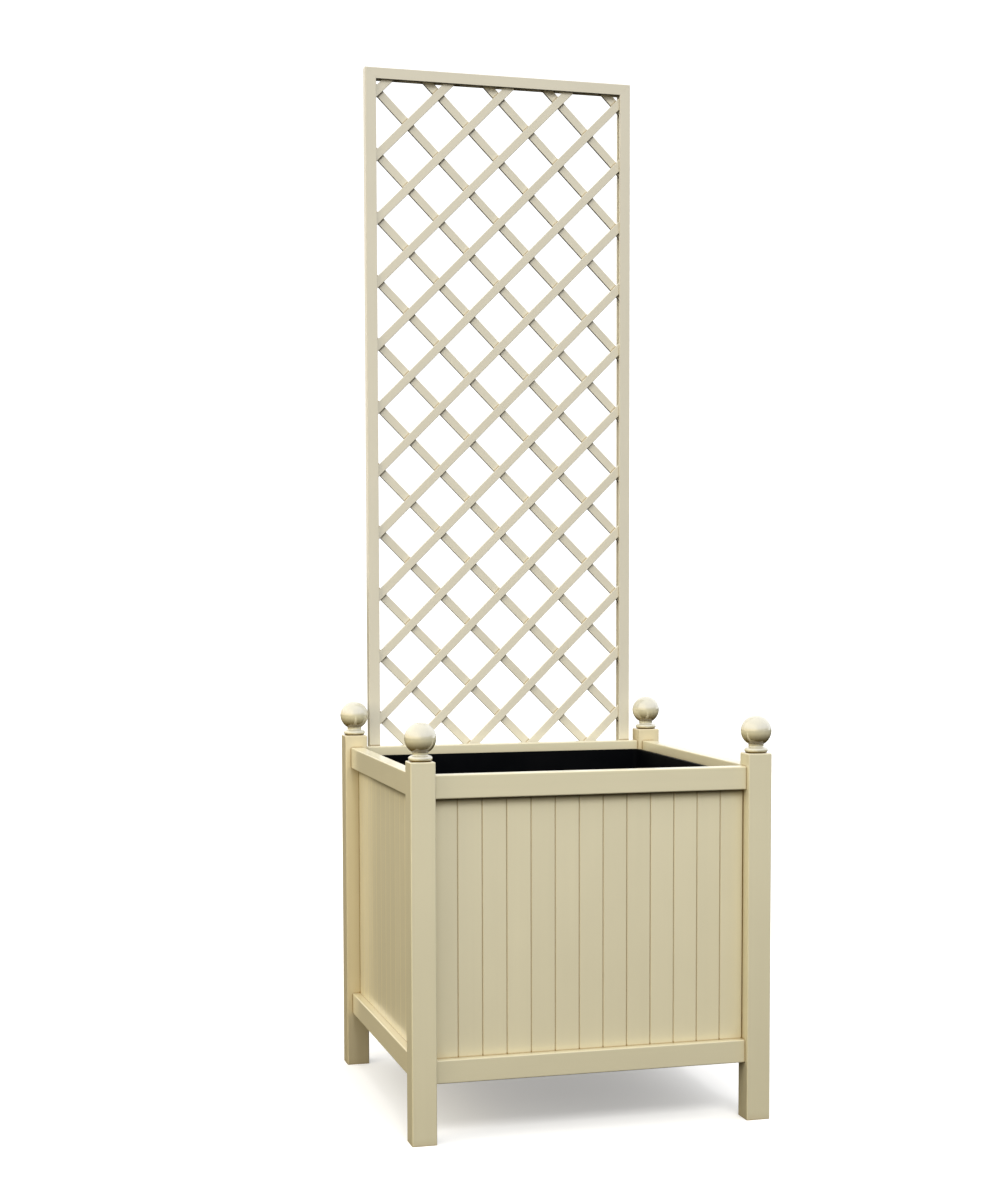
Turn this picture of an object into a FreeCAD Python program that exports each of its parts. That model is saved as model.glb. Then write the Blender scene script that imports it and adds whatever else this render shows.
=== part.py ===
import FreeCAD, Part
import math
import operator
import os
from collections import namedtuple

import Sketcher
from FreeCAD import Placement, Rotation, Vector

# Square painted timber planter with turned ball finials, a lift-out liner and a lattice trellis
# fixed behind it. Millimetres, +Z up, +X to the right, +Y to the back. The origin is on the
# ground, under the middle of the box round the whole object. The ground is Z = 0.

# Driving dimensions: name, millimetres, what it measures.
DIMENSIONS = (
    # The planter's frame
    ("planter_width", 600, "outside of the posts, left to right"),
    ("planter_depth", 600, "outside of the posts, front to back"),
    ("post_width", 40, "side of a square post"),
    ("post_height", 604, "ground to the post's flat top"),
    ("arris_radius", 2, "rounding of every planed edge that shows"),
    ("rail_height", 37.5, "a planter rail, edge to edge"),
    ("rail_thickness", 23, "a planter rail, face to back"),
    ("rail_setback", 10, "rail face behind the posts' outer faces"),
    ("top_rail_drop", 21.5, "top rail's upper edge below the post tops"),
    ("bottom_rail_lift", 94.5, "bottom rail's lower edge above the ground"),
    ("tenon_length", 12, "rail tenon, shoulder to end"),
    ("tenon_thickness", 10, "rail tenon, front to back"),
    ("tenon_setback", 4, "tenon's front cheek behind the rail face"),
    ("tenon_shoulder", 6, "tenon's edge inside the rail's outer edge"),
    ("mortise_end_gap", 1, "room for glue beyond a tenon's end"),
    # Tongued and grooved boards
    ("board_width", 40, "nominal face of one board, joint to joint"),
    ("board_thickness", 9, "a board, face to back"),
    ("board_setback", 14, "board face behind the rail face"),
    ("board_lap", 12, "board end inside a rail's rebate"),
    ("bevel", 1.5, "each side of the V joint between two boards"),
    ("tongue_thickness", 3, "tongue, front to back"),
    ("tongue_length", 5, "tongue beyond the joint"),
    ("tongue_gap", 0.3, "room round a tongue in its groove"),
    # Finials
    ("ball_radius", 25, "finial ball"),
    ("ball_height", 36, "ball's centre above the post top"),
    ("neck_radius", 12.4, "neck under the ball"),
    ("collar_radius", 19, "collar that stands on the post"),
    ("collar_edge_radius", 4.5, "half-round edge of the collar"),
    ("dowel_radius", 5, "peg under the collar"),
    ("dowel_length", 25, "peg below the post top"),
    ("dowel_gap", 0.1, "room round the peg in its hole"),
    # Lift-out liner and the floor under it
    ("liner_gap", 1, "liner's lip clear of the posts' inner faces"),
    ("liner_drop", 15, "liner's lip below the top rail's upper edge"),
    ("liner_wall", 3, "wall and floor of the liner"),
    ("liner_corner_radius", 15, "outer corner of the lip, seen from above"),
    ("lip_width", 3, "lip outside the liner's wall"),
    ("lip_height", 9, "lip, top to bottom"),
    ("liner_seat_gap", 0.3, "liner above the floor boards"),
    ("drain_radius", 7, "drain hole"),
    ("bearer_section", 20, "side of a square floor bearer"),
    ("bearer_lift", 2.5, "bearer above the bottom rail's lower edge"),
    ("floor_board_width", 80, "one floor board"),
    ("floor_board_thickness", 12, "one floor board"),
    ("floor_end_gap", 1, "floor boards clear of the rails and posts"),
    # Trellis
    ("trellis_gap", 10, "stile clear of the corner post beside it"),
    ("trellis_top", 1804, "ground to the top of the trellis"),
    ("frame_section", 20, "side of the square stiles and rails"),
    ("frame_arris_radius", 1, "rounding of the stiles' and rails' long edges"),
    ("frame_groove", 6, "depth of the groove that houses the slats"),
    ("frame_shoulder", 4, "lower end of a stile's groove above the bottom rail's underside"),
    ("housing_gap", 0.5, "slat or tenon end clear of the groove's floor"),
    ("trellis_foot_drop", 25, "lattice's lower edge below the planter's top rail"),
    ("slat_width", 15, "one lattice slat"),
    ("slat_thickness", 5, "one lattice slat"),
    ("slat_arris_radius", 0.8, "rounding of a slat's long edges"),
    ("lattice_side_margin", 3.75, "outermost column of crossings inside the stile's edge"),
    ("lattice_top_margin", 19, "top row of crossings below the top rail's edge"),
    ("lattice_foot_margin", 76.25, "lowest row of crossings above the bottom rail's edge"),
    # Countersunk screws
    ("screw_length", 35, "head to tip"),
    ("shank_radius", 2, "screw shank"),
    ("head_radius", 4, "screw head"),
    ("head_depth", 2.4, "cone of the head"),
    ("screw_gap", 0.1, "room round a screw in its hole"),
)

FLOOR_BOARDS = 5
DRAIN_HOLES = 4
BEARER_SCREWS = (-1, 0, 1)
LATTICE_COLUMNS = 4
LATTICE_ROWS = 10

QUARTER_TURN = 90
FULL_TURN = 360
NEARLY_ZERO = 0.01

OPERATIONS = {"+": operator.add, "-": operator.sub, "*": operator.mul, "/": operator.truediv}

doc = FreeCAD.newDocument("planter_with_trellis")
sheet = doc.addObject("Spreadsheet::Sheet", "sizes")


class Size:
    """A length as a number and as the sheet expression that gives the same number."""

    def __init__(self, number, text=None):
        self.number = float(number)
        self.text = text or "({:.9g})".format(number)

    def combine(self, sign, other, swapped=False):
        other = other if isinstance(other, Size) else Size(other)
        first, second = (other, self) if swapped else (self, other)
        number = OPERATIONS[sign](first.number, second.number)
        return Size(number, "({} {} {})".format(first.text, sign, second.text))

    def __add__(self, other):
        return self.combine("+", other)

    def __radd__(self, other):
        return self.combine("+", other, swapped=True)

    def __sub__(self, other):
        return self.combine("-", other)

    def __rsub__(self, other):
        return self.combine("-", other, swapped=True)

    def __mul__(self, other):
        return self.combine("*", other)

    def __rmul__(self, other):
        return self.combine("*", other, swapped=True)

    def __truediv__(self, other):
        return self.combine("/", other)

    def __neg__(self):
        return self.combine("*", -1)

    def root(self):
        return Size(math.sqrt(self.number), "sqrt({})".format(self.text))

    def slope_angle(self):
        return Size(math.degrees(math.atan(self.number)), "atan({})".format(self.text))


def fill_sheet():
    """Write the driving dimensions to the sheet and return them by name."""
    sizes = {}
    for row, (name, value, meaning) in enumerate(DIMENSIONS, start=1):
        sheet.set("A{}".format(row), name)
        sheet.set("B{}".format(row), str(value))
        sheet.set("C{}".format(row), meaning)
        sheet.setAlias("B{}".format(row), name)
        sizes[name] = Size(value, "sizes." + name)
    doc.recompute()
    return namedtuple("Sizes", sizes)(**sizes)


S = fill_sheet()
ZERO = Size(0)

# Places that several pieces share, worked out from the sheet.
trellis_overhang = S.frame_section - S.rail_setback
ball_overhang = S.ball_radius - S.post_width / 2
front = -(S.planter_depth + trellis_overhang - ball_overhang) / 2
back = front + S.planter_depth
middle = (front + back) / 2
right = S.planter_width / 2
left = -right
width_span = S.planter_width - 2 * S.post_width
depth_span = S.planter_depth - 2 * S.post_width
top_rail_top = S.post_height - S.top_rail_drop
top_rail_bottom = top_rail_top - S.rail_height
bottom_rail_bottom = S.bottom_rail_lift
bottom_rail_top = bottom_rail_bottom + S.rail_height
board_face = S.rail_setback + S.board_setback
rail_back = S.rail_setback + S.rail_thickness
tenon_face = S.rail_setback + S.tenon_setback
tenon_height = S.rail_height - S.board_lap - S.tenon_shoulder
bearer_bottom = bottom_rail_bottom + S.bearer_lift
bearer_top = bearer_bottom + S.bearer_section
floor_top = bearer_top + S.floor_board_thickness
bearer_screw_height = bearer_bottom + S.bearer_section / 2
bearer_screw_step = width_span * 3 / 8
floor_reach = width_span - 2 * S.floor_end_gap
floor_pitch = (floor_reach - S.floor_board_width) / (FLOOR_BOARDS - 1)
trellis_face = back - S.rail_setback
stile_middle = (width_span - S.frame_section) / 2 - S.trellis_gap
trellis_screw_heights = {
    "top": top_rail_top - S.rail_height / 2,
    "bottom": bottom_rail_bottom + S.rail_height / 2,
}

# Each side of the planter has a frame of its own, a quarter turn on from the side before it:
# X along the side from its middle, Y inwards from the posts' outer faces, Z up from the ground.
Side = namedtuple("Side", "name x y span")
SIDES = (
    Side("front", ZERO, front, width_span),
    Side("right", right, middle, depth_span),
    Side("back", ZERO, back, width_span),
    Side("left", left, middle, depth_span),
)

# Each corner has the same post, a quarter turn on from the corner before it. The first one's
# outer faces look along -X and -Y.
Corner = namedtuple("Corner", "name x y")
CORNERS = (
    Corner("front_left", left + S.post_width / 2, front + S.post_width / 2),
    Corner("front_right", right - S.post_width / 2, front + S.post_width / 2),
    Corner("back_right", right - S.post_width / 2, back - S.post_width / 2),
    Corner("back_left", left + S.post_width / 2, back - S.post_width / 2),
)

subparts = []


def finished(piece):
    """Count a document object among the pieces that are handed over."""
    piece.Label = piece.Name
    subparts.append(piece)
    return piece


def bind(item, **properties):
    """Tie properties of an object to the sheet."""
    for name, size in properties.items():
        item.setExpression(name, size.text)


def place(item, x=ZERO, y=ZERO, z=ZERO, turn=0, axis=Vector(0, 0, 1)):
    """Put an object at a place that follows the sheet, turned about an axis."""
    item.Placement = Placement(Vector(x.number, y.number, z.number), Rotation(axis, turn))
    for name, size in (("x", x), ("y", y), ("z", z)):
        item.setExpression("Placement.Base." + name, size.text)
    return item


def place_round(item, spot, spots, z=ZERO):
    """Put a piece at one of the four sides or corners, turned to match."""
    return place(item, spot.x, spot.y, z, QUARTER_TURN * spots.index(spot))


def new_body(name):
    return doc.addObject("PartDesign::Body", name)


# ---------------------------------------------------------------- sketches and features

Point = namedtuple("Point", "x y radius hollow", defaults=(None, False))


def arc_between(start, end, radius, hollow):
    """The arc of less than half a turn from start to end, bulging out or hollow."""
    chord = end - start
    across = Vector(-chord.y, chord.x, 0).normalize()
    reach = math.sqrt(radius ** 2 - (chord.Length / 2) ** 2)
    centre = (start + end) / 2 + across * (-reach if hollow else reach)
    first, last = (end, start) if hollow else (start, end)
    angles = [math.atan2(point.y - centre.y, point.x - centre.x) for point in (first, last)]
    return Part.ArcOfCircle(Part.Circle(centre, Vector(0, 0, 1), radius), *angles)


def sketch_outline(body, name, plane, outline, lift=None):
    """A closed sketch through points given anticlockwise, every one tied to the sheet.

    A point with a radius starts an arc to the next point, and the others start a line.
    """
    sketch = body.newObject("Sketcher::SketchObject", name)
    planes = {feature.Role: feature for feature in body.Origin.OriginFeatures}
    sketch.AttachmentSupport = [(planes[plane], "")]
    sketch.MapMode = "FlatFace"
    if lift is not None:
        sketch.setExpression("AttachmentOffset.Base.z", lift.text)
    points = [Point(*point) for point in outline]
    spots = [Vector(point.x.number, point.y.number, 0) for point in points]
    for index, point in enumerate(points):
        start = spots[index]
        end = spots[(index + 1) % len(spots)]
        if point.radius is None:
            run = Part.LineSegment(start, end)
        else:
            run = arc_between(start, end, point.radius.number, point.hollow)
        sketch.addGeometry(run, False)
    for index, point in enumerate(points):
        previous = (index - 1) % len(points)
        head = 2 if point.hollow else 1
        tail = 1 if points[previous].hollow else 2
        sketch.addConstraint(Sketcher.Constraint("Coincident", previous, tail, index, head))
        for kind, size in (("DistanceX", point.x), ("DistanceY", point.y)):
            tie = sketch.addConstraint(Sketcher.Constraint(kind, -1, 1, index, head, size.number))
            sketch.setExpression("Constraints[{}]".format(tie), size.text)
        if point.radius is not None:
            tie = sketch.addConstraint(Sketcher.Constraint("Radius", index, point.radius.number))
            sketch.setExpression("Constraints[{}]".format(tie), point.radius.text)
    return sketch


def pad(body, name, sketch, length, midplane=False):
    feature = body.newObject("PartDesign::Pad", name)
    feature.Profile = sketch
    feature.Midplane = midplane
    bind(feature, Length=length)
    return feature


def cut_box(body, name, x, y, z, length, width, height):
    """Cut a box out of a body, from its lowest corner."""
    box = place(body.newObject("PartDesign::SubtractiveBox", name), x, y, z)
    bind(box, Length=length, Width=width, Height=height)
    return box


def cut_round(body, name, x, y, z, radius, depth, axis=Vector(0, 0, 1), turn=0):
    """Drill a round hole that starts at a point and runs along the turned Z axis."""
    hole = place(body.newObject("PartDesign::SubtractiveCylinder", name), x, y, z, turn, axis)
    bind(hole, Radius=radius, Height=depth)
    return hole


def round_edges(body, name, base, radius, chosen):
    """Round the edges of a feature whose middle point passes a test."""
    doc.recompute()
    names = []
    for index, edge in enumerate(base.Shape.Edges, start=1):
        middle_point = (edge.Vertexes[0].Point + edge.Vertexes[-1].Point) / 2
        if chosen(middle_point):
            names.append("Edge{}".format(index))
    feature = body.newObject("PartDesign::Fillet", name)
    feature.Base = (base, names)
    bind(feature, Radius=radius)
    return feature


def revolve(body, sketch):
    """Turn a half profile once round its upright axis."""
    turned = body.newObject("PartDesign::Revolution", "turned")
    turned.Profile = sketch
    turned.ReferenceAxis = (sketch, ["V_Axis"])
    turned.Angle = FULL_TURN
    return turned


def near(value, size):
    return abs(value - size.number) < NEARLY_ZERO


# ---------------------------------------------------------------- planter frame


def make_post(corner):
    """A square post with four blind mortises and a hole for the finial's peg."""
    body = new_body("post_" + corner.name)
    half = S.post_width / 2
    square = ((-half, -half), (half, -half), (half, half), (-half, half))
    blank = pad(body, "blank", sketch_outline(body, "square", "XY_Plane", square), S.post_height)
    round_edges(body, "arrises", blank, S.arris_radius, lambda point: not near(point.z, ZERO))
    depth = S.tenon_length + S.mortise_end_gap
    cheek = tenon_face - half
    mortise_bottoms = (
        ("top", top_rail_bottom + S.board_lap),
        ("bottom", bottom_rail_bottom + S.tenon_shoulder),
    )
    for level, bottom in mortise_bottoms:
        cut_box(body, level + "_mortise_x", half - depth, cheek, bottom,
                depth, S.tenon_thickness, tenon_height)
        cut_box(body, level + "_mortise_y", cheek, half - depth, bottom,
                S.tenon_thickness, depth, tenon_height)
    hole_depth = S.dowel_length + S.mortise_end_gap
    cut_round(body, "peg_hole", ZERO, ZERO, S.post_height - hole_depth,
              S.dowel_radius + S.dowel_gap, hole_depth)
    finished(place_round(body, corner, CORNERS))


def make_finial(corner):
    """A turned ball on a neck, a cove and a round-edged collar, with a peg underneath."""
    body = new_body("finial_" + corner.name)
    edge = S.collar_edge_radius
    flat = S.collar_radius - edge
    cove = flat - S.neck_radius
    neck_top = S.ball_height - (S.ball_radius * S.ball_radius - S.neck_radius * S.neck_radius).root()
    half_profile = (
        (ZERO, -S.dowel_length),
        (S.dowel_radius, -S.dowel_length),
        (S.dowel_radius, ZERO),
        (flat, ZERO, edge),
        (S.collar_radius, edge, edge),
        (flat, 2 * edge, cove, True),
        (S.neck_radius, 2 * edge + cove),
        (S.neck_radius, neck_top, S.ball_radius),
        (ZERO, S.ball_height + S.ball_radius),
    )
    revolve(body, sketch_outline(body, "half_profile", "XZ_Plane", half_profile))
    finished(place_round(body, corner, CORNERS, S.post_height))


def make_rail(side, level):
    """A rail rebated for the boards' ends, with a stub tenon at each end."""
    body = new_body("{}_rail_{}".format(level, side.name))
    if level == "top":
        outer, inner, lap = top_rail_top, top_rail_bottom, top_rail_bottom + S.board_lap
        section = (
            (S.rail_setback, inner), (board_face, inner), (board_face, lap),
            (rail_back, lap), (rail_back, outer), (S.rail_setback, outer),
        )
        tenon_bottom = lap
    else:
        outer, inner, lap = bottom_rail_bottom, bottom_rail_top, bottom_rail_top - S.board_lap
        section = (
            (S.rail_setback, outer), (rail_back, outer), (rail_back, lap),
            (board_face, lap), (board_face, inner), (S.rail_setback, inner),
        )
        tenon_bottom = outer + S.tenon_shoulder
    sketch = sketch_outline(body, "section", "YZ_Plane", section)
    blank = pad(body, "blank", sketch, side.span, midplane=True)

    def shows(point):
        on_face = near(point.y, S.rail_setback)
        on_outer_edge = near(point.z, outer) and near(point.y, rail_back)
        return near(point.x, ZERO) and (on_face or on_outer_edge)

    round_edges(body, "arrises", blank, S.arris_radius, shows)
    tenon = (
        (tenon_face, tenon_bottom),
        (tenon_face + S.tenon_thickness, tenon_bottom),
        (tenon_face + S.tenon_thickness, tenon_bottom + tenon_height),
        (tenon_face, tenon_bottom + tenon_height),
    )
    sketch = sketch_outline(body, "tenon_section", "YZ_Plane", tenon)
    pad(body, "tenons", sketch, side.span + 2 * S.tenon_length, midplane=True)
    if side.name == "back":
        drill_for_trellis(body, trellis_screw_heights[level])
    if level == "bottom" and side.name in ("front", "back"):
        drill_for_bearer(body)
    finished(place_round(body, side, SIDES))


def drill_for_trellis(body, height):
    """Pilot holes in a back rail, from its outer face inwards."""
    depth = S.screw_length - S.frame_section
    for side, x in (("left", -stile_middle), ("right", stile_middle)):
        cut_round(body, "trellis_pilot_" + side, x, S.rail_setback, height,
                  S.shank_radius + S.screw_gap, depth, Vector(1, 0, 0), -QUARTER_TURN)


def drill_for_bearer(body):
    """Pilot holes in a bottom rail, from its back outwards."""
    depth = S.screw_length - S.bearer_section
    for number, step in enumerate(BEARER_SCREWS, start=1):
        cut_round(body, "bearer_pilot_{}".format(number), step * bearer_screw_step, rail_back,
                  bearer_screw_height, S.shank_radius + S.screw_gap, depth,
                  Vector(1, 0, 0), QUARTER_TURN)


# ---------------------------------------------------------------- boards


def make_board(name, width, has_tongue):
    """One upright board: bevelled face edges, a groove on its left and a tongue on its right."""
    body = new_body(name)
    tongue_front = (S.board_thickness - S.tongue_thickness) / 2
    tongue_back = tongue_front + S.tongue_thickness
    groove_front = tongue_front - S.tongue_gap
    groove_back = tongue_back + S.tongue_gap
    groove_floor = S.tongue_length + S.tongue_gap
    profile = [(S.bevel, ZERO), (width - S.bevel, ZERO), (width, S.bevel)]
    if has_tongue:
        profile += [
            (width, tongue_front),
            (width + S.tongue_length, tongue_front),
            (width + S.tongue_length, tongue_back),
            (width, tongue_back),
        ]
    profile += [
        (width, S.board_thickness),
        (ZERO, S.board_thickness),
        (ZERO, groove_back),
        (groove_floor, groove_back),
        (groove_floor, groove_front),
        (ZERO, groove_front),
        (ZERO, S.bevel),
    ]
    sketch = sketch_outline(body, "profile", "XY_Plane", profile)
    length = top_rail_bottom - bottom_rail_top + 2 * S.board_lap
    pad(body, "length", sketch, length)
    return body


def make_board_set(name, span):
    """The boards across one opening: how many, how wide, and the two kinds of board."""
    count = max(1, round(span.number / S.board_width.number))
    width = span / count
    board = make_board(name + "_board", width, True)
    last_board = make_board(name + "_last_board", width, False)
    return count, width, board, last_board


def make_panel(side, board_set):
    """A row of boards from post to post, standing in the rebates of two rails."""
    count, width, board, last_board = board_set
    boards = []
    for number in range(count):
        link = doc.addObject("App::Link", "{}_board_{}".format(side.name, number + 1))
        link.LinkedObject = last_board if number == count - 1 else board
        place(link, number * width - side.span / 2, board_face, bottom_rail_top - S.board_lap)
        boards.append(link)
    panel = doc.addObject("Part::Compound", "boards_" + side.name)
    panel.Links = boards
    finished(place_round(panel, side, SIDES))


# ---------------------------------------------------------------- floor and liner


def make_bearer(side):
    """A square batten on the inside of a bottom rail, drilled and countersunk for its screws."""
    body = new_body("floor_bearer_" + side.name)
    blank = body.newObject("PartDesign::AdditiveBox", "blank")
    place(blank, -side.span / 2, rail_back, bearer_bottom)
    bind(blank, Length=side.span, Width=S.bearer_section, Height=S.bearer_section)
    face = rail_back + S.bearer_section
    for number, step in enumerate(BEARER_SCREWS, start=1):
        drill_screw_hole(body, number, step * bearer_screw_step, face, bearer_screw_height,
                         S.bearer_section)
    finished(place_round(body, side, SIDES))


def drill_screw_hole(body, number, x, y, z, thickness):
    """A clearance hole through a piece along -Y, countersunk at the face where it starts."""
    cut_round(body, "hole_{}".format(number), x, y, z, S.shank_radius + S.screw_gap,
              thickness, Vector(1, 0, 0), QUARTER_TURN)
    cone = body.newObject("PartDesign::SubtractiveCone", "countersink_{}".format(number))
    place(cone, x, y, z, QUARTER_TURN, Vector(1, 0, 0))
    bind(cone, Radius1=S.head_radius + S.screw_gap, Radius2=S.shank_radius + S.screw_gap,
         Height=S.head_depth)


def make_floor():
    """Floor boards from front to back, resting on the two bearers."""
    length = S.planter_depth - 2 * rail_back - 2 * S.floor_end_gap
    boards = []
    for number in range(FLOOR_BOARDS):
        board = doc.addObject("Part::Box", "floor_board_{}".format(number + 1))
        bind(board, Length=S.floor_board_width, Width=length, Height=S.floor_board_thickness)
        boards.append(place(board, number * floor_pitch - floor_reach / 2, -length / 2))
    floor = doc.addObject("Part::Compound", "floor_boards")
    floor.Links = boards
    finished(place(floor, ZERO, middle, bearer_top))


def rounded_rectangle(width, depth, radius):
    """Corners of a rectangle about the middle, each rounded by a quarter turn."""
    x, y = width / 2, depth / 2
    inner_x, inner_y = x - radius, y - radius
    return (
        (-inner_x, -y), (inner_x, -y, radius), (x, -inner_y), (x, inner_y, radius),
        (inner_x, y), (-inner_x, y, radius), (-x, inner_y), (-x, -inner_y, radius),
    )


def make_liner():
    """An open waterproof tub with a thick lip and drain holes, which lifts straight out."""
    body = new_body("liner")
    lip_x = width_span - 2 * S.liner_gap
    lip_y = depth_span - 2 * S.liner_gap
    height = top_rail_top - S.liner_drop - floor_top - S.liner_seat_gap
    inset = 2 * S.lip_width
    bore = inset + 2 * S.liner_wall
    wall_radius = S.liner_corner_radius - S.lip_width
    walls = rounded_rectangle(lip_x - inset, lip_y - inset, wall_radius)
    pad(body, "walls", sketch_outline(body, "wall_outline", "XY_Plane", walls), height)
    lip = rounded_rectangle(lip_x, lip_y, S.liner_corner_radius)
    lip_sketch = sketch_outline(body, "lip_outline", "XY_Plane", lip, lift=height - S.lip_height)
    pad(body, "lip", lip_sketch, S.lip_height)
    hollow = rounded_rectangle(lip_x - bore, lip_y - bore, wall_radius - S.liner_wall)
    pocket = body.newObject("PartDesign::Pocket", "hollow")
    pocket.Profile = sketch_outline(body, "hollow_outline", "XY_Plane", hollow, lift=height)
    bind(pocket, Length=height - S.liner_wall)
    over_gap = 3 * floor_pitch / 2
    drain = cut_round(body, "drain", over_gap, over_gap, ZERO, S.drain_radius, S.liner_wall)
    pattern = body.newObject("PartDesign::PolarPattern", "drains")
    pattern.Originals = [drain]
    axes = {feature.Role: feature for feature in body.Origin.OriginFeatures}
    pattern.Axis = (axes["Z_Axis"], [""])
    pattern.Angle = FULL_TURN
    pattern.Occurrences = DRAIN_HOLES
    body.Tip = pattern
    finished(place(body, ZERO, middle, floor_top + S.liner_seat_gap))


# ---------------------------------------------------------------- trellis

lattice_top = S.trellis_top - S.frame_section
lattice_bottom = top_rail_top - S.trellis_foot_drop
groove_width = 2 * S.slat_thickness
groove_face = (S.frame_section - groove_width) / 2
housed = S.frame_groove - S.housing_gap
opening_width = 2 * stile_middle - S.frame_section
column_step = (opening_width - 2 * S.lattice_side_margin) / LATTICE_COLUMNS
top_crossing = lattice_top - S.lattice_top_margin
row_step = (top_crossing - lattice_bottom - S.lattice_foot_margin) / LATTICE_ROWS
slat_slope = (row_step / column_step).slope_angle()


def mitre(body, name, outline):
    """Cut a corner off a frame piece, right through it from front to back."""
    cut = body.newObject("PartDesign::Pocket", name)
    cut.Profile = sketch_outline(body, name + "_outline", "XZ_Plane", outline)
    cut.Midplane = True
    bind(cut, Length=3 * S.frame_section)


def make_stile(side, sign):
    """A grooved upright, screwed to the backs of the planter's two back rails."""
    body = new_body("trellis_stile_" + side)
    half = S.frame_section / 2
    section = (
        (-half, ZERO), (half, ZERO), (half, S.frame_section), (-half, S.frame_section),
    )
    sketch = sketch_outline(body, "section", "XY_Plane", section, lift=bottom_rail_bottom)
    length = S.trellis_top - bottom_rail_bottom
    blank = pad(body, "blank", sketch, length)
    round_edges(body, "arrises", blank, S.frame_arris_radius,
                lambda point: near(point.z, bottom_rail_bottom + length / 2))
    mitre(body, "mitre", (
        (-sign * half, lattice_top), (half, S.trellis_top), (-half, S.trellis_top),
    ))
    groove_x = -half if sign > 0 else half - S.frame_groove
    groove_bottom = lattice_bottom - S.frame_section + S.frame_shoulder
    cut_box(body, "groove", groove_x, groove_face, groove_bottom, S.frame_groove, groove_width,
            S.trellis_top - groove_bottom)
    for number, height in enumerate(trellis_screw_heights.values(), start=1):
        drill_screw_hole(body, number, ZERO, S.frame_section, height, S.frame_section)
    finished(place(body, sign * stile_middle, trellis_face))


def make_trellis_rail(name, bottom, groove_bottom, length):
    """A square rail with rounded long edges and a groove across the frame's opening."""
    body = new_body(name)
    section = (
        (ZERO, bottom), (S.frame_section, bottom),
        (S.frame_section, bottom + S.frame_section), (ZERO, bottom + S.frame_section),
    )
    sketch = sketch_outline(body, "section", "YZ_Plane", section)
    blank = pad(body, "blank", sketch, length, midplane=True)
    round_edges(body, "arrises", blank, S.frame_arris_radius, lambda point: near(point.x, ZERO))
    cut_box(body, "groove", -opening_width / 2, groove_face, groove_bottom,
            opening_width, groove_width, S.frame_groove)
    return body


def make_trellis_top_rail():
    """The rail along the top, mitred to the stiles, with a tongue in each stile's groove."""
    inner = opening_width / 2
    outer = inner + S.frame_section
    body = make_trellis_rail("trellis_top_rail", lattice_top, lattice_top, 2 * outer)
    mitre(body, "right_mitre", (
        (inner, lattice_top), (outer, lattice_top), (outer, S.trellis_top),
    ))
    mitre(body, "left_mitre", (
        (-inner, lattice_top), (-outer, S.trellis_top), (-outer, lattice_top),
    ))
    for side, x in (("right", inner), ("left", -inner - housed)):
        tongue = body.newObject("PartDesign::AdditiveBox", side + "_tongue")
        place(tongue, x, groove_face, lattice_top + S.housing_gap)
        bind(tongue, Length=housed, Width=groove_width, Height=S.frame_groove - S.housing_gap)
    finished(place(body, y=trellis_face))


def make_trellis_bottom_rail():
    """The rail under the lattice, with a stub tenon in each stile's groove."""
    bottom = lattice_bottom - S.frame_section
    groove_bottom = lattice_bottom - S.frame_groove
    body = make_trellis_rail("trellis_bottom_rail", bottom, groove_bottom, opening_width)
    tenon_bottom = bottom + S.frame_shoulder
    tenon = (
        (groove_face, tenon_bottom), (groove_face + groove_width, tenon_bottom),
        (groove_face + groove_width, groove_bottom), (groove_face, groove_bottom),
    )
    sketch = sketch_outline(body, "tenon_section", "YZ_Plane", tenon)
    pad(body, "tenons", sketch, opening_width + 2 * housed, midplane=True)
    finished(place(body, y=trellis_face))


def make_housing():
    """The space that slats may fill: the frame's opening and the grooves round it."""
    height = lattice_top - lattice_bottom
    bars = []
    for name, over_x, over_z in (("across", housed, ZERO), ("upright", ZERO, housed)):
        bar = doc.addObject("Part::Box", "housing_" + name)
        bind(bar, Length=opening_width + 2 * over_x, Width=groove_width,
             Height=height + 2 * over_z)
        place(bar, -opening_width / 2 - over_x, trellis_face + groove_face,
              lattice_bottom - over_z)
        bars.append(bar)
    housing = doc.addObject("Part::MultiFuse", "housing")
    housing.Shapes = bars
    return housing


def make_slat_bar():
    """A bar with eased edges, longer than any slat, about the middle of its section."""
    body = new_body("slat_bar")
    section = rounded_rectangle(S.slat_thickness, S.slat_width, S.slat_arris_radius)
    sketch = sketch_outline(body, "section", "YZ_Plane", section)
    pad(body, "length", sketch, 2 * (opening_width + row_step), midplane=True)
    return body


def make_slat(name, bar, layer, crossing, slope, housing):
    """A slat through a crossing on the centre line, cut to the frame inside its grooves."""
    layer_middle = (layer + 0.5) * S.slat_thickness
    link = doc.addObject("App::Link", name + "_bar")
    link.LinkedObject = bar
    place(link, ZERO, trellis_face + groove_face + layer_middle, crossing, slope.number,
          Vector(0, 1, 0))
    link.setExpression("Placement.Rotation.Angle", slope.text)
    slat = doc.addObject("Part::Common", name)
    slat.Base = link
    slat.Tool = housing
    finished(slat)


def make_lattice():
    """Two layers of slats, one slat of each through every crossing of the outer columns."""
    housing = make_housing()
    bar = make_slat_bar()
    beyond = LATTICE_COLUMNS // 2
    rows = range(-beyond, LATTICE_ROWS + beyond + 1)
    for number, row in enumerate(rows, start=1):
        crossing = top_crossing - row * row_step
        make_slat("slat_rising_{:02d}".format(number), bar, 0, crossing, -slat_slope, housing)
        make_slat("slat_falling_{:02d}".format(number), bar, 1, crossing, slat_slope, housing)


# ---------------------------------------------------------------- screws


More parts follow.
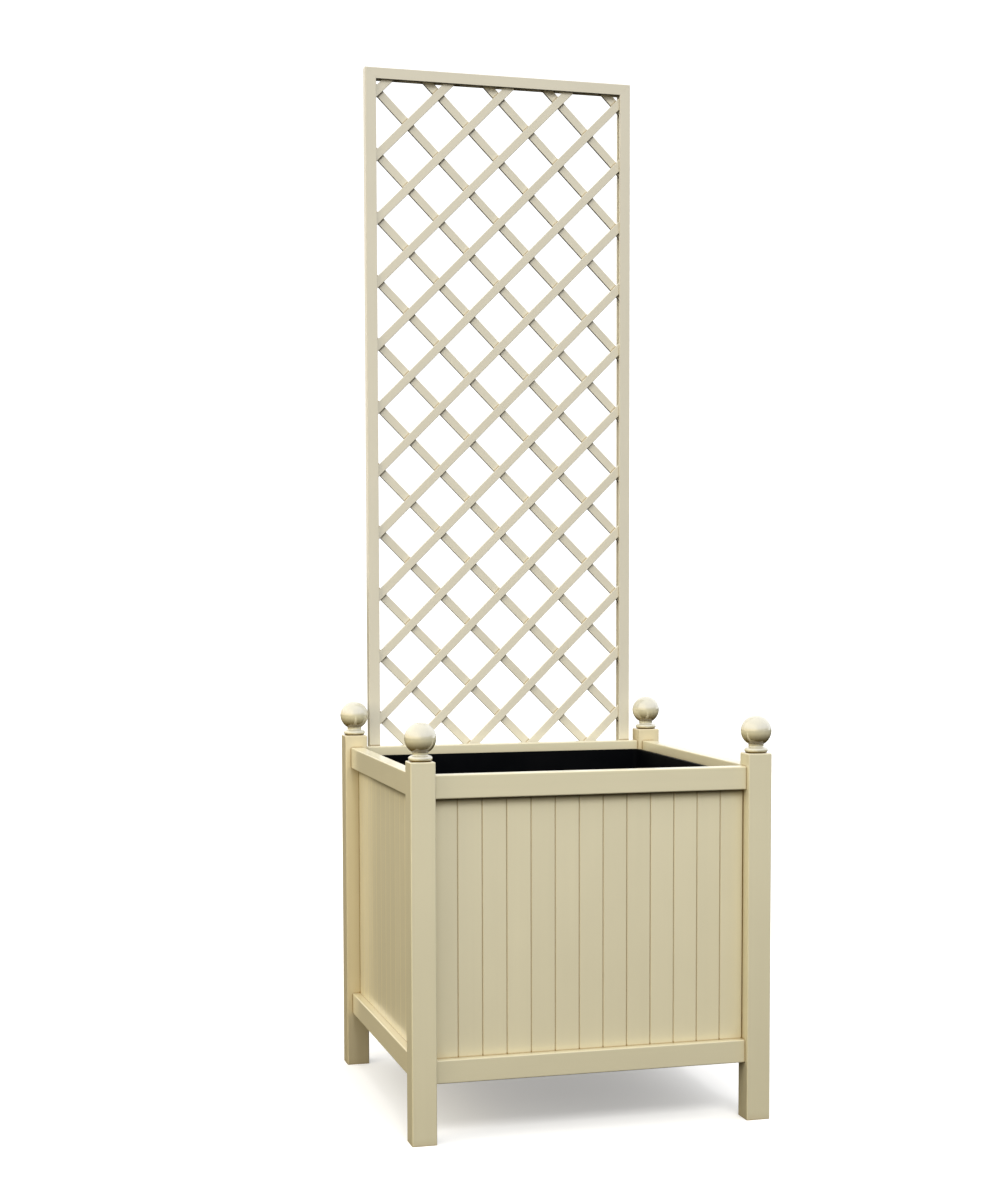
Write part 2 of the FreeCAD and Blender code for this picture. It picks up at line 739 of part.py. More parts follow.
def make_screws(name, places):
    """Countersunk screws, each with its head in a face and driven along +Y (1) or -Y (-1)."""
    body = new_body(name + "_pattern")
    profile = (
        (ZERO, -S.screw_length),
        (S.shank_radius, -S.screw_length + S.shank_radius),
        (S.shank_radius, -S.head_depth),
        (S.head_radius, ZERO),
        (ZERO, ZERO),
    )
    revolve(body, sketch_outline(body, "half_profile", "XZ_Plane", profile))
    links = []
    for number, (x, y, z, driven) in enumerate(places, start=1):
        link = doc.addObject("App::Link", "{}_{}".format(name, number))
        link.LinkedObject = body
        links.append(place(link, x, y, z, QUARTER_TURN * driven, Vector(1, 0, 0)))
    screws = doc.addObject("Part::Compound", name)
    screws.Links = links
    finished(screws)


def make_all_screws():
    trellis_places = [
        (sign * stile_middle, trellis_face + S.frame_section, height, -1)
        for sign in (-1, 1)
        for height in trellis_screw_heights.values()
    ]
    make_screws("trellis_screws", trellis_places)
    inside_face = rail_back + S.bearer_section
    bearer_places = [
        (step * bearer_screw_step, face, bearer_screw_height, driven)
        for face, driven in ((front + inside_face, -1), (back - inside_face, 1))
        for step in BEARER_SCREWS
    ]
    make_screws("bearer_screws", bearer_places)


# ---------------------------------------------------------------- the whole object

for corner in CORNERS:
    make_post(corner)
    make_finial(corner)
for side in SIDES:
    make_rail(side, "top")
    make_rail(side, "bottom")
width_boards = make_board_set("width", width_span)
depth_boards = make_board_set("depth", depth_span)
for side in SIDES:
    across = side.name in ("front", "back")
    make_panel(side, width_boards if across else depth_boards)
    if across:
        make_bearer(side)
make_floor()
make_liner()
make_stile("left", -1)
make_stile("right", 1)
make_trellis_top_rail()
make_trellis_bottom_rail()
make_lattice()
make_all_screws()
doc.recompute()

for item in doc.Objects:
    if "Invalid" in item.State or "Error" in item.State:
        raise RuntimeError("{} failed: {}".format(item.Label, item.State))
for piece in subparts:
    if piece.Shape.isNull() or not piece.Shape.isValid():
        raise RuntimeError("{} has no sound shape".format(piece.Label))

os.makedirs("parts", exist_ok=True)
for piece in subparts:
    piece.Shape.exportStep(os.path.join("parts", piece.Label + ".step"))
print("{} pieces, {} solids".format(len(subparts), sum(len(p.Shape.Solids) for p in subparts)))
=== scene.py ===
import math
from fnmatch import fnmatch

import bpy
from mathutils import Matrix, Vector


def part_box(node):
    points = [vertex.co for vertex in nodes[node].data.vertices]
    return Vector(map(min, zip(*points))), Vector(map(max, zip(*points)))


# Square cream-painted timber planter with turned ball finials, a black lift-out liner and a
# diagonal lattice trellis behind it. Metres, +Z up, +X to the right, +Y to the back.

MILLIMETRE = 0.001

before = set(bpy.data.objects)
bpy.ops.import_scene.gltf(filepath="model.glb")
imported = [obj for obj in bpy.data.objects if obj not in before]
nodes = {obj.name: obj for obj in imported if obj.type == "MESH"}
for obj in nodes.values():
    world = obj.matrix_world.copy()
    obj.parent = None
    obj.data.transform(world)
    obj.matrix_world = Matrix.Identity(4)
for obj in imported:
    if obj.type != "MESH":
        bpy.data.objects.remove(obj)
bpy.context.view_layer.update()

# ---------------------------------------------------------------- node trees

# Most of what a noise gives lies between these values.
NOISE_LOW = 0.3
NOISE_HIGH = 0.7

# The Mix node's sockets for colours, whose names it also uses for other kinds of value.
MIX_COLOURS = (6, 7)
MIX_RESULT = 2


class Tree:
    """A node tree that is built one node at a time."""

    def __init__(self, owner):
        owner.use_nodes = True
        self.tree = owner.node_tree
        self.tree.nodes.clear()

    def add(self, kind, inputs=(), **settings):
        """Add a node with its settings and with a value or a link for each named input."""
        node = self.tree.nodes.new(kind)
        for name, value in settings.items():
            setattr(node, name, value)
        for name, value in dict(inputs).items():
            socket = node.inputs[name]
            if isinstance(value, bpy.types.NodeSocket):
                self.tree.links.new(value, socket)
            else:
                socket.default_value = value
        return node

    def math(self, operation, first, second=0.0):
        return self.add("ShaderNodeMath", {0: first, 1: second}, operation=operation).outputs[0]

    def vector_math(self, operation, first, second=(0.0, 0.0, 0.0)):
        return self.add("ShaderNodeVectorMath", {0: first, 1: second},
                        operation=operation).outputs[0]

    def noise(self, vector, scale=1.0, detail=2.0, roughness=0.5):
        """Noise from 0 to 1 with features about 1/scale metres across."""
        inputs = {"Vector": vector, "Scale": scale, "Detail": detail, "Roughness": roughness}
        return self.add("ShaderNodeTexNoise", inputs).outputs["Fac"]

    def ramp(self, value, low, high, to_low=0.0, to_high=1.0):
        """Map a value from one span to another, held at the ends."""
        inputs = {"Value": value, "From Min": low, "From Max": high,
                  "To Min": to_low, "To Max": to_high}
        return self.add("ShaderNodeMapRange", inputs).outputs["Result"]

    def ramp_noise(self, noise, to_low, to_high):
        """Map the bulk of a noise to a span."""
        return self.ramp(noise, NOISE_LOW, NOISE_HIGH, to_low, to_high)

    def mix(self, share, first, second, blend="MIX"):
        """Mix two colours."""
        node = self.add("ShaderNodeMix", {"Factor": share}, data_type="RGBA", blend_type=blend)
        for place, value in zip(MIX_COLOURS, (first, second)):
            socket = node.inputs[place]
            if isinstance(value, bpy.types.NodeSocket):
                self.tree.links.new(value, socket)
            else:
                socket.default_value = (*value, 1.0)
        return node.outputs[MIX_RESULT]

    def bump(self, height, depth, normal=None):
        """Raise the surface by up to a depth in metres."""
        inputs = {"Height": height, "Distance": depth, "Strength": 1.0}
        if normal is not None:
            inputs["Normal"] = normal
        return self.add("ShaderNodeBump", inputs).outputs["Normal"]

    def surface(self, **inputs):
        """End a material's tree in a Principled shader; _ stands for a space in input names."""
        named = {name.replace("_", " "): value for name, value in inputs.items()}
        shader = self.add("ShaderNodeBsdfPrincipled", named)
        self.add("ShaderNodeOutputMaterial", {"Surface": shader.outputs[0]})


def new_material(name):
    """A material and its empty tree."""
    material = bpy.data.materials.new(name)
    return material, Tree(material)


# ---------------------------------------------------------------- coordinates and masks

# The turn that brings a grain direction to the texture's X.
GRAIN_TURNS = {
    "x": (0.0, 0.0, 0.0),
    "y": (0.0, 0.0, -math.pi / 2),
    "z": (0.0, math.pi / 2, 0.0),
    "rising": (0.0, math.pi / 4, 0.0),
    "falling": (0.0, -math.pi / 4, 0.0),
}

# How far a piece's random number, from 0 to 1, shifts its grain along each axis.
PIECE_SHIFT = (7.0, 13.0, 19.0)

# Where a mask starts and where it is full: likeness of the rounded normal to the plain one,
# open share of the surroundings, and Z of the normal.
EDGE_LIKENESS = (0.98, 0.80)
JOINT_OPENNESS = (0.85, 0.45)
RECESS_OPENNESS = (0.75, 0.35)
FACES_UP = (-0.15, 0.30)
FACES_DOWN = (-0.10, -0.68)


def grain_space(tree, along, pitch=None):
    """Coordinates with X along the grain, shifted for each object and each board in it.

    pitch has the axis across a row of boards, a board's width and where the row starts. The
    second value returned is a random number for each object or board.
    """
    place = tree.add("ShaderNodeTexCoord").outputs["Object"]
    turned = tree.add("ShaderNodeMapping", {"Vector": place, "Rotation": GRAIN_TURNS[along]})
    own = tree.add("ShaderNodeObjectInfo").outputs["Random"]
    if pitch is not None:
        axis, width, start = pitch
        across = tree.add("ShaderNodeSeparateXYZ", {0: place}).outputs[axis]
        index = tree.math("FLOOR", tree.math("DIVIDE", tree.math("SUBTRACT", across, start), width))
        own = tree.add("ShaderNodeTexWhiteNoise", {"W": tree.math("ADD", index, own)},
                       noise_dimensions="1D").outputs["Value"]
    shift = tree.add("ShaderNodeCombineXYZ", {0: own, 1: own, 2: own}).outputs[0]
    spread = tree.vector_math("MULTIPLY", shift, PIECE_SHIFT)
    return tree.vector_math("ADD", turned.outputs[0], spread), own


def stretched_noise(tree, space, per_metre, **settings):
    """Noise with its own number of features in a metre along each axis."""
    return tree.noise(tree.vector_math("MULTIPLY", space, per_metre), **settings)


def edge_mask(tree, radius):
    """1 on rounded and sharp edges and 0 on flat faces, with the rounded normal."""
    soft = tree.add("ShaderNodeBevel", {"Radius": radius}, samples=6).outputs["Normal"]
    plain = tree.add("ShaderNodeNewGeometry").outputs["True Normal"]
    likeness = tree.add("ShaderNodeVectorMath", {0: soft, 1: plain},
                        operation="DOT_PRODUCT").outputs["Value"]
    return tree.ramp(likeness, *EDGE_LIKENESS), soft


# The mask of the painted shade in corners, joints and recesses.
def hollow_mask(tree, reach, openness):
    """1 deep in a corner or a joint, 0 in the open."""
    open_share = tree.add("ShaderNodeAmbientOcclusion", {"Distance": reach}, samples=16)
    return tree.ramp(open_share.outputs["AO"], *openness)


def facing(tree, span):
    """1 where the surface faces up or down by more than a share, 0 up to a smaller one."""
    normal = tree.add("ShaderNodeNewGeometry").outputs["Normal"]
    return tree.ramp(tree.add("ShaderNodeSeparateXYZ", {0: normal}).outputs["Z"], *span)


# ---------------------------------------------------------------- paint

CREAM = (0.820, 0.770, 0.555)
# The boards and the low side rails take lighter copies of the cream, and the trellis a lighter,
# less yellow one: painted light. The rear posts take a darker, yellower copy: painted shade.
BOARD_LIT_CREAM = (0.855, 0.800, 0.580)
SIDE_RAIL_LIT_CREAM = (0.880, 0.820, 0.590)
REAR_POST_SHADED_CREAM = (0.805, 0.720, 0.490)
TRELLIS_LIT_CREAM = (0.81, 0.775, 0.64)
GLOSS_CREAM = (0.94, 0.88, 0.60)

# Lighter colour on the arrises: edge wear and a painted highlight.
WORN_AND_HIGHLIT_CREAM = (0.93, 0.90, 0.82)
# Painted shade in joints, corners and recesses.
CREAM_HOLLOW_SHADE = (0.37, 0.245, 0.085)
# Painted shadow under the top rails.
CREAM_RAIL_SHADOW = (0.085, 0.058, 0.014)
# Painted shade on the trellis's downward faces.
TRELLIS_UNDERSIDE_SHADE = (0.020, 0.014, 0.005)
# Painted light tone on the finials' upward faces, greyer and darker than the gloss cream.
GLOSS_TOP_LIGHT_TONE = (0.70, 0.675, 0.53)
# Painted shade where the finials' parts meet.
GLOSS_HOLLOW_SHADE = (0.08, 0.04, 0.01)
# Painted shade on the finials' downward faces.
GLOSS_UNDERSIDE_SHADE = (0.17, 0.110, 0.012)

# Painted shade: below a height the paint gets darker towards the ground, where it is multiplied by
# a colour.
GROUND_SHADE_HEIGHT = 0.5
GROUND_SHADE = (0.88, 0.865, 0.83)

# A coat's weight, roughness and IOR.
SATIN_COAT = (0.5, 0.15, 1.5)
GLOSS_COAT = (1.0, 0.03, 2.8)
NO_COAT = (0.0, 0.15, 1.5)

SATIN_ROUGHNESS = 0.32
GLOSS_ROUGHNESS = 0.25
BRUSH_ROUGHNESS = 0.03
EDGE_POLISH = 0.08

GRAIN_PER_METRE = (2.5, 70.0, 70.0)
GRAIN_DEPTH = 0.02 * MILLIMETRE
BRUSH_PER_METRE = (7.0, 600.0, 600.0)
BRUSH_DEPTH = 0.003 * MILLIMETRE
CLOUDS_PER_METRE = 7.0

# How far each of these makes the paint lighter or darker.
CLOUD_TINT = 0.014
GRAIN_TINT = 0.010
PIECE_TINT = 0.014

EDGE_RADIUS = 0.7 * MILLIMETRE
EDGE_WEAR_AND_HIGHLIGHT = 0.8
# Reaches and share of the painted shade in joints and wide recesses.
JOINT_REACH = 4 * MILLIMETRE
RECESS_REACH = 28 * MILLIMETRE
RECESS_SHARE = 0.3
# How the painted shadow under a rail grows and how dark it gets.
RAIL_SHADOW_GROWTH = 2.2
RAIL_SHADOW_SHARE = 0.8
# The share of painted shade on downward faces and how much coat they lose.
UNDERSIDE_SHARE = 0.95
UNDERSIDE_COAT_LOSS = 0.55


def painted(name, along, cream=CREAM, hollow_shade=CREAM_HOLLOW_SHADE, roughness=SATIN_ROUGHNESS,
            pitch=None, recess_shade=RECESS_SHARE, wear_and_highlight=EDGE_WEAR_AND_HIGHLIGHT, shadow_below=None, underside=None,
            top_light_tone=None, flat=None, coat=SATIN_COAT):
    """Paint brushed on planed timber: the grain shows through faintly along the piece.

    recess_shade is the share of painted shade in wide recesses, hollow_shade the colour of the
    painted shade in joints, corners and recesses, and wear_and_highlight the share of a lighter
    colour on edges, which is edge wear and a painted highlight. shadow_below has two heights
    between which a painted shadow grows towards a rail. underside and top_light_tone are colours
    for what
    faces down and up: painted shade below and a painted light tone above. flat is a direction that
    the joints' faces are turned to by filling paint.
    """
    material, tree = new_material(name)
    space, own = grain_space(tree, along, pitch)
    grain = stretched_noise(tree, space, GRAIN_PER_METRE, detail=4.0, roughness=0.55)
    brush = stretched_noise(tree, space, BRUSH_PER_METRE, detail=1.0)
    cloud = tree.noise(space, scale=CLOUDS_PER_METRE)
    tint = tree.math("ADD", tree.ramp_noise(cloud, -CLOUD_TINT, CLOUD_TINT),
                     tree.ramp_noise(grain, -GRAIN_TINT, GRAIN_TINT))
    tint = tree.math("ADD", tint, tree.ramp(own, 0.0, 1.0, -PIECE_TINT, PIECE_TINT))
    shade = tree.math("ADD", tint, 1.0)
    grey = tree.add("ShaderNodeCombineColor", {0: shade, 1: shade, 2: shade}).outputs[0]
    colour = tree.mix(1.0, cream, grey, blend="MULTIPLY")

    position = tree.add("ShaderNodeNewGeometry").outputs["Position"]
    height = tree.add("ShaderNodeSeparateXYZ", {0: position}).outputs["Z"]
    # Painted shade, darker towards the ground.
    colour = tree.mix(tree.ramp(height, GROUND_SHADE_HEIGHT, 0.0), colour, GROUND_SHADE, blend="MULTIPLY")
    # A painted light tone on upward faces.
    if top_light_tone:
        colour = tree.mix(facing(tree, FACES_UP), colour, top_light_tone)

    sheen = tree.math("ADD", tree.ramp_noise(brush, -BRUSH_ROUGHNESS, BRUSH_ROUGHNESS), roughness)
    normal = None
    # Lighter arrises: edge wear and a painted highlight.
    if wear_and_highlight:
        edges, normal = edge_mask(tree, EDGE_RADIUS)
        colour = tree.mix(tree.math("MULTIPLY", edges, wear_and_highlight), colour, WORN_AND_HIGHLIT_CREAM)
        sheen = tree.math("SUBTRACT", sheen, tree.math("MULTIPLY", edges, EDGE_POLISH))
    if flat:
        true_normal = tree.add("ShaderNodeNewGeometry").outputs["True Normal"]
        normal = tree.vector_math("NORMALIZE", tree.vector_math("ADD", true_normal, flat))
    elif hollow_shade:
        # Painted shade in joints, corners and recesses.
        hollow = hollow_mask(tree, JOINT_REACH, JOINT_OPENNESS)
        if recess_shade:
            near = hollow_mask(tree, RECESS_REACH, RECESS_OPENNESS)
            hollow = tree.math("MAXIMUM", hollow, tree.math("MULTIPLY", near, recess_shade))
        colour = tree.mix(hollow, colour, hollow_shade)
    # Painted shadow under a top rail.
    if shadow_below:
        rail_shadow = tree.math("POWER", tree.ramp(height, *shadow_below), RAIL_SHADOW_GROWTH)
        colour = tree.mix(tree.math("MULTIPLY", rail_shadow, RAIL_SHADOW_SHARE), colour, CREAM_RAIL_SHADOW)

    coat_weight, coat_roughness, coat_ior = coat
    # Painted shade on downward faces, with the coat weakened there.
    if underside:
        down = facing(tree, FACES_DOWN)
        colour = tree.mix(tree.math("MULTIPLY", down, UNDERSIDE_SHARE), colour, underside)
        if coat_weight:
            loss = tree.math("MULTIPLY", down, UNDERSIDE_COAT_LOSS)
            coat_weight = tree.math("SUBTRACT", coat_weight, loss)

    normal = tree.bump(grain, GRAIN_DEPTH, normal)
    normal = tree.bump(brush, BRUSH_DEPTH, normal)
    tree.surface(Base_Color=colour, Roughness=sheen, Normal=normal, Coat_Weight=coat_weight,
                 Coat_Roughness=coat_roughness, Coat_IOR=coat_ior)
    return material


# ---------------------------------------------------------------- bare timber, plastic and zinc

PINE = (0.58, 0.42, 0.25)
PINE_LATE = (0.40, 0.25, 0.12)
PINE_GREY = (0.46, 0.41, 0.34)
RINGS_PER_METRE = (0.4, 55.0, 55.0)
RING_BEND_PER_METRE = (1.5, 12.0, 12.0)
FIBRES_PER_METRE = (14.0, 900.0, 900.0)
FIBRE_DEPTH = 0.12 * MILLIMETRE
SAW_MARKS_PER_METRE = (420.0, 6.0, 6.0)
SAW_MARK_DEPTH = 0.15 * MILLIMETRE
GREY_PER_METRE = 5.0

# Ramps: where each one starts and ends and, unless it gives 0 and 1, what it gives there.
LATE_WOOD = (0.45, 0.95)
RING_STRENGTH = (0.2, 0.8, 0.4, 1.0)
FIBRE_SHADE = (0.4, 0.8, 0.0, 0.35)
GREYING = (0.35, 0.75, 0.05, 0.45)
PINE_ROUGHNESS = (0.2, 0.8, 0.65, 0.85)


def sawn_pine(name, along, pitch=None):
    """Bare softwood with growth rings, saw marks across it and a little greying."""
    material, tree = new_material(name)
    space, _ = grain_space(tree, along, pitch)
    bend = stretched_noise(tree, space, RING_BEND_PER_METRE, detail=2.0)
    rings = tree.add("ShaderNodeTexWave", {
        "Vector": tree.vector_math("MULTIPLY", space, RINGS_PER_METRE), "Scale": 1.0,
        "Distortion": 3.0, "Detail": 2.0,
    }, wave_type="BANDS", bands_direction="Y").outputs["Fac"]
    fibre = stretched_noise(tree, space, FIBRES_PER_METRE, detail=3.0)
    saw = stretched_noise(tree, space, SAW_MARKS_PER_METRE, detail=1.0)
    late = tree.math("MULTIPLY", tree.ramp(rings, *LATE_WOOD), tree.ramp(bend, *RING_STRENGTH))
    wood = tree.mix(late, PINE, PINE_LATE)
    wood = tree.mix(tree.ramp(fibre, *FIBRE_SHADE), wood, PINE_LATE)
    greying = tree.ramp(tree.noise(space, scale=GREY_PER_METRE), *GREYING)
    normal = tree.bump(fibre, FIBRE_DEPTH)
    normal = tree.bump(saw, SAW_MARK_DEPTH, normal)
    tree.surface(Base_Color=tree.mix(greying, wood, PINE_GREY),
                 Roughness=tree.ramp(fibre, *PINE_ROUGHNESS), Normal=normal)
    return material


LINER_BLACK = (0.0022, 0.0026, 0.0034)
LINER_SCUFF = (0.010, 0.010, 0.011)
LINER_SPECULAR = 0.04
LINER_EDGE_RADIUS = 1.0 * MILLIMETRE
LINER_EDGE_WEAR = 0.6
MOULD_GRAIN_PER_METRE = 700.0
MOULD_GRAIN_DEPTH = 0.05 * MILLIMETRE
DUST_PER_METRE = 7.0
DUST_SHARE = (0.50, 0.80, 0.0, 0.35)
LINER_ROUGHNESS = (0.3, 0.8, 0.42, 0.62)


def moulded_plastic(name):
    """Black plastic with a fine moulded grain, a little dust and scuffed edges."""
    material, tree = new_material(name)
    place = tree.add("ShaderNodeTexCoord").outputs["Object"]
    inputs = {"Vector": place, "Scale": MOULD_GRAIN_PER_METRE}
    mould_grain = tree.add("ShaderNodeTexVoronoi", inputs, feature="SMOOTH_F1").outputs["Distance"]
    dust = tree.noise(place, scale=DUST_PER_METRE, detail=5.0, roughness=0.6)
    edges, soft_normal = edge_mask(tree, LINER_EDGE_RADIUS)
    scuffs = tree.math("MAXIMUM", tree.math("MULTIPLY", edges, LINER_EDGE_WEAR),
                       tree.ramp(dust, *DUST_SHARE))
    tree.surface(Base_Color=tree.mix(scuffs, LINER_BLACK, LINER_SCUFF),
                 Roughness=tree.ramp(dust, *LINER_ROUGHNESS),
                 Normal=tree.bump(mould_grain, MOULD_GRAIN_DEPTH, soft_normal),
                 Specular_IOR_Level=LINER_SPECULAR)
    return material


ZINC = (0.60, 0.59, 0.56)
ZINC_YELLOW = (0.66, 0.58, 0.36)
ZINC_PATCHES_PER_METRE = 260.0
TURNING_MARKS_PER_METRE = (3000.0, 400.0, 3000.0)
TURNING_MARK_DEPTH = 0.01 * MILLIMETRE
YELLOWING = (0.35, 0.65)
ZINC_ROUGHNESS = (0.28, 0.48)


def zinc_plate(name):
    """Yellowish zinc on steel, with turning marks and patches of dulling."""
    material, tree = new_material(name)
    place = tree.add("ShaderNodeTexCoord").outputs["Object"]
    patches = tree.noise(place, scale=ZINC_PATCHES_PER_METRE, detail=4.0)
    marks = stretched_noise(tree, place, TURNING_MARKS_PER_METRE, detail=1.0)
    tree.surface(Base_Color=tree.mix(tree.ramp(patches, *YELLOWING), ZINC, ZINC_YELLOW),
                 Metallic=1.0, Roughness=tree.ramp_noise(patches, *ZINC_ROUGHNESS),
                 Normal=tree.bump(marks, TURNING_MARK_DEPTH))
    return material


# ---------------------------------------------------------------- finishes on the CAD nodes

BOARDS_PER_SIDE = 13
FLOOR_BOARDS = 5

# How far below a top rail the painted shadow starts on the plain and on the flattened boards,
# and the part of that at which it is full.
RAIL_SHADOW_REACH = 11 * MILLIMETRE
FLAT_RAIL_SHADOW_REACH = 20 * MILLIMETRE
RAIL_SHADOW_FULL_AT = 3

# How strongly the side boards' joints are turned to the side that they face.
FLATTENING = 2.5


def give(name, material):
    """Put a material on a CAD node."""
    nodes[name].data.materials.clear()
    nodes[name].data.materials.append(material)


def board_rows():
    """Each side's boards, grained upright, with a slightly different look for each board."""
    for side, axis, flat in (("front", 0, None), ("back", 0, None),
                             ("left", 1, (-FLATTENING, 0.0, 0.0)),
                             ("right", 1, (FLATTENING, 0.0, 0.0))):
        low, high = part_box("boards_" + side)
        pitch = (axis, (high[axis] - low[axis]) / BOARDS_PER_SIDE, low[axis])
        rail_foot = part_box("top_rail_" + side)[0].z
        reach = FLAT_RAIL_SHADOW_REACH if flat else RAIL_SHADOW_REACH
        # Heights of the painted shadow under the top rail.
        rail_shadow = (rail_foot - reach, rail_foot - reach / RAIL_SHADOW_FULL_AT)
        give("boards_" + side, painted("paint_boards_" + side, "z", BOARD_LIT_CREAM, pitch=pitch,
                                       shadow_below=rail_shadow, wear_and_highlight=0.0 if flat else EDGE_WEAR_AND_HIGHLIGHT, flat=flat))


def floor_boards():
    """The liner's floor, with a slightly different look for each board."""
    low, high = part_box("floor_boards")
    pitch = (0, (high.x - low.x) / FLOOR_BOARDS, low.x)
    give("floor_boards", sawn_pine("pine_floor", "y", pitch))


def single_pieces():
    """Every other node takes the finish of the first pattern that its name fits."""
    # The trellis takes a lighter, less yellow copy of the cream (painted light) and painted shade
    # on its downward faces. The rear posts and the low side rails take a darker and a lighter copy:
    # painted shade and painted light.
    on_trellis = {"cream": TRELLIS_LIT_CREAM, "underside": TRELLIS_UNDERSIDE_SHADE, "coat": NO_COAT}
    finishes = (
        ("post_back_*", painted("paint_upright_rear", "z", REAR_POST_SHADED_CREAM)),
        ("post_*", painted("paint_upright", "z")),
        ("trellis_stile_*", painted("paint_stile", "z", TRELLIS_LIT_CREAM, recess_shade=0.0)),
        ("trellis_*_rail", painted("paint_trellis_rail", "x", recess_shade=0.0, **on_trellis)),
        ("slat_rising_*", painted("paint_rising", "rising", hollow_shade=None, wear_and_highlight=0.0,
                                  **on_trellis)),
        ("slat_falling_*", painted("paint_falling", "falling", recess_shade=0.0, wear_and_highlight=0.0,
                                   **on_trellis)),
        # The finials get painted shade in their hollows and below, and a painted light tone on top.
        ("finial_*", painted("paint_gloss", "z", GLOSS_CREAM, GLOSS_HOLLOW_SHADE, GLOSS_ROUGHNESS,
                             recess_shade=0.0, underside=GLOSS_UNDERSIDE_SHADE, top_light_tone=GLOSS_TOP_LIGHT_TONE,
                             coat=GLOSS_COAT)),
        ("bottom_rail_[lr]*", painted("paint_deep_low", "y", SIDE_RAIL_LIT_CREAM)),
        ("top_rail_[lr]*", painted("paint_deep", "y")),
        ("*_rail_*", painted("paint_across", "x")),
        ("floor_bearer_*", sawn_pine("pine_bearer", "x")),
        ("liner", moulded_plastic("black_plastic")),
        ("*_screws", zinc_plate("zinc")),
    )
    for name in nodes:
        for pattern, material in finishes:
            if fnmatch(name, pattern):
                give(name, material)
                break


single_pieces()
board_rows()
floor_boards()

# ---------------------------------------------------------------- stage, light and camera

FLOOR_SIZE = 1000.0
FLOOR_WHITE = (0.90, 0.90, 0.89, 1.0)
FLOOR_GLOW = 0.35


def make_floor():
    """A plain pale floor that the object doesn't reflect."""
    mesh = bpy.data.meshes.new("studio_floor")
    half = FLOOR_SIZE / 2
    corners = [(-half, -half, 0), (half, -half, 0), (half, half, 0), (-half, half, 0)]
    mesh.from_pydata(corners, [], [(0, 1, 2, 3)])
    floor = bpy.data.objects.new("studio_floor", mesh)
    bpy.context.scene.collection.objects.link(floor)
    material, tree = new_material("studio_white")
    paper = tree.add("ShaderNodeBsdfDiffuse", {"Color": FLOOR_WHITE})
    glow = tree.add("ShaderNodeEmission", {"Color": FLOOR_WHITE, "Strength": FLOOR_GLOW})
    both = tree.add("ShaderNodeAddShader", {0: paper.outputs[0], 1: glow.outputs[0]})
    tree.add("ShaderNodeOutputMaterial", {"Surface": both.outputs[0]})
    mesh.materials.append(material)
    floor.visible_diffuse = False
    floor.visible_glossy = False


PLAIN_WHITE = (1.2, 1.2, 1.2)
BACKDROP = (1.20, 1.20, 1.20)
LOW_FRONT = (0.26, 0.25, 0.23)
HIGH_FRONT = (1.00, 1.00, 1.04)
LOW_LEFT = (1.10, 0.93, 0.64)
HIGH_LEFT = (1.42, 1.35, 1.19)
SKY_TOP = (0.95, 0.95, 0.97)
GROUND = (0.030, 0.025, 0.015)

# The spans of a direction's Y, X and Z over which one part of the sky gives way to the next.
BACK_TO_FRONT = (0.15, -0.25)
MIDDLE_TO_LEFT = (-0.05, -0.45)
LOW_TO_HIGH = (0.12, 0.32)
HIGH_TO_TOP = (0.60, 0.90)
GROUND_TO_SKY = (-0.006, -0.002)


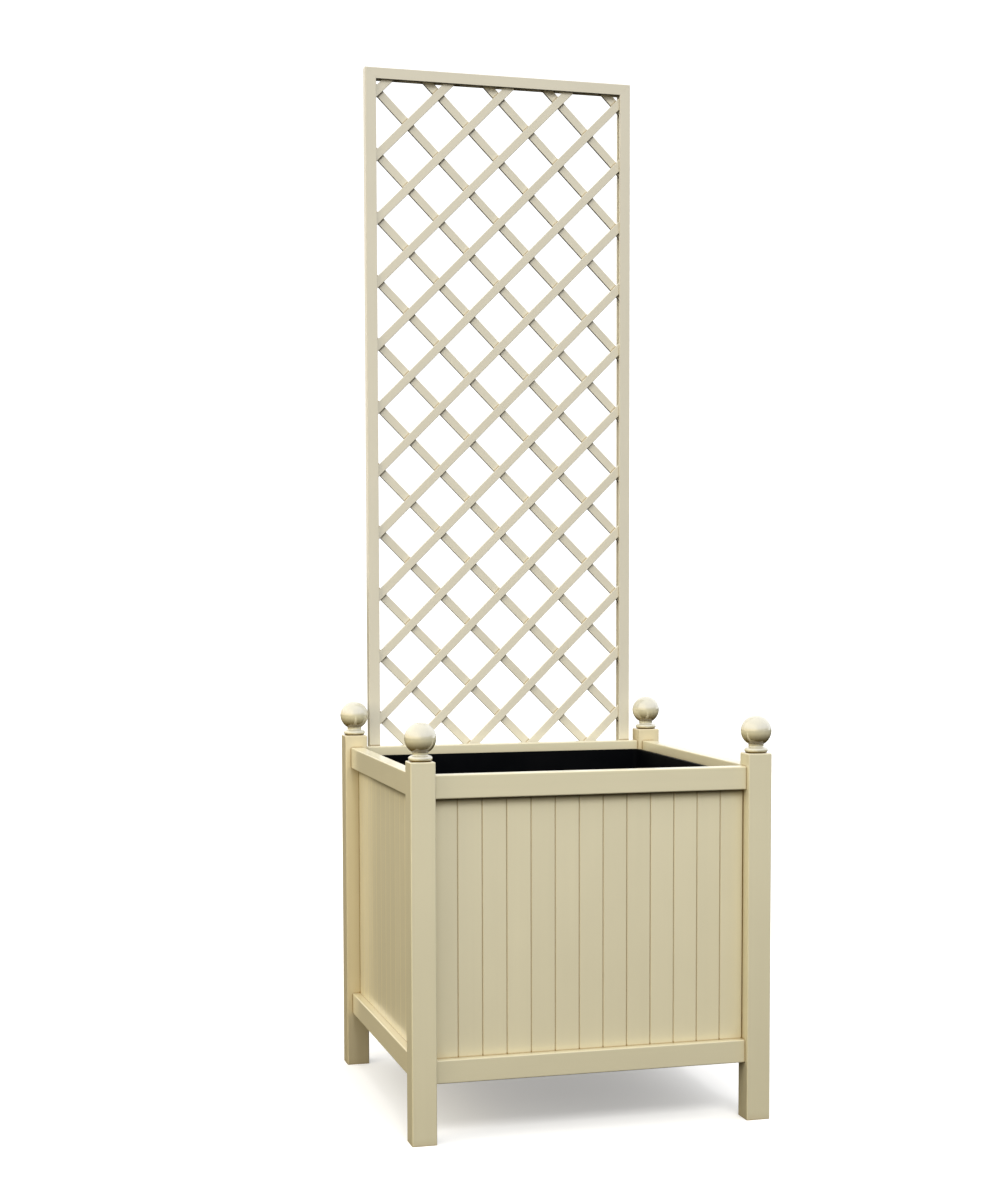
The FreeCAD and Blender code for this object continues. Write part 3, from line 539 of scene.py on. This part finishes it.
def make_world():
    """Soft light from above the horizon, warmer from the left, and dark ground.

    It lights and shows in reflections. Seen straight, the background is plain white.
    """
    world = bpy.data.worlds.new("studio")
    bpy.context.scene.world = world
    tree = Tree(world)
    direction = tree.add("ShaderNodeTexCoord").outputs["Generated"]
    parts = tree.add("ShaderNodeSeparateXYZ", {0: direction}).outputs
    in_front = tree.ramp(parts["Y"], *BACK_TO_FRONT)
    on_left = tree.ramp(parts["X"], *MIDDLE_TO_LEFT)
    low = tree.mix(on_left, tree.mix(in_front, BACKDROP, LOW_FRONT), LOW_LEFT)
    high = tree.mix(on_left, tree.mix(in_front, BACKDROP, HIGH_FRONT), HIGH_LEFT)
    sky = tree.mix(tree.ramp(parts["Z"], *LOW_TO_HIGH), low, high)
    sky = tree.mix(tree.ramp(parts["Z"], *HIGH_TO_TOP), sky, SKY_TOP)
    light = tree.mix(tree.ramp(parts["Z"], *GROUND_TO_SKY), GROUND, sky)
    seen_straight = tree.add("ShaderNodeLightPath").outputs["Is Camera Ray"]
    colour = tree.mix(seen_straight, light, PLAIN_WHITE)
    background = tree.add("ShaderNodeBackground", {"Color": colour, "Strength": 1.0})
    tree.add("ShaderNodeOutputWorld", {"Surface": background.outputs[0]})


def area_light(name, place, target, size, watts, colour=(1.0, 1.0, 1.0)):
    """A soft square light that looks at a point and leaves no highlight of its own."""
    data = bpy.data.lights.new(name, "AREA")
    data.shape = "SQUARE"
    data.size = size
    data.energy = watts
    data.color = colour
    light = bpy.data.objects.new(name, data)
    bpy.context.scene.collection.objects.link(light)
    light.visible_glossy = False
    light.visible_camera = False
    light.location = place
    light.rotation_euler = (Vector(target) - Vector(place)).to_track_quat("-Z", "Y").to_euler()


CAMERA_PLACE = (-0.95009, -3.34375, 0.88695)
CAMERA_TILT = 0.0673
CAMERA_PAN = 0.2810
CAMERA_ROLL = 0.0007
SENSOR_WIDTH = 36.0
FOCAL_PIXELS = 2016.64
CENTRE_PIXEL = (552.0, 715.0)
IMAGE_SIZE = (1000.0, 1188.0)


def make_camera():
    """A camera fitted to the photo; its angles are in radians."""
    data = bpy.data.cameras.new("camera")
    long_side = max(IMAGE_SIZE)
    data.sensor_width = SENSOR_WIDTH
    data.clip_end = FLOOR_SIZE
    data.lens = FOCAL_PIXELS * SENSOR_WIDTH / long_side
    data.shift_x = (IMAGE_SIZE[0] / 2 - CENTRE_PIXEL[0]) / long_side
    data.shift_y = (CENTRE_PIXEL[1] - IMAGE_SIZE[1] / 2) / long_side
    camera = bpy.data.objects.new("camera", data)
    bpy.context.scene.collection.objects.link(camera)
    camera.location = CAMERA_PLACE
    camera.rotation_euler = (math.pi / 2 - CAMERA_TILT, CAMERA_ROLL, -CAMERA_PAN)
    bpy.context.scene.camera = camera


make_floor()
make_world()
area_light("key", place=(1.0, -17.5, 18.0), target=(0.0, 0.0, 0.9), size=7.8, watts=2180.0)
area_light("fill", place=(-2.2, -0.7, 1.0), target=(-0.3, 0.0, 0.4), size=0.9, watts=10.5,
           colour=(1.0, 0.87, 0.62))
make_camera()
bpy.context.scene.view_settings.view_transform = "Standard"
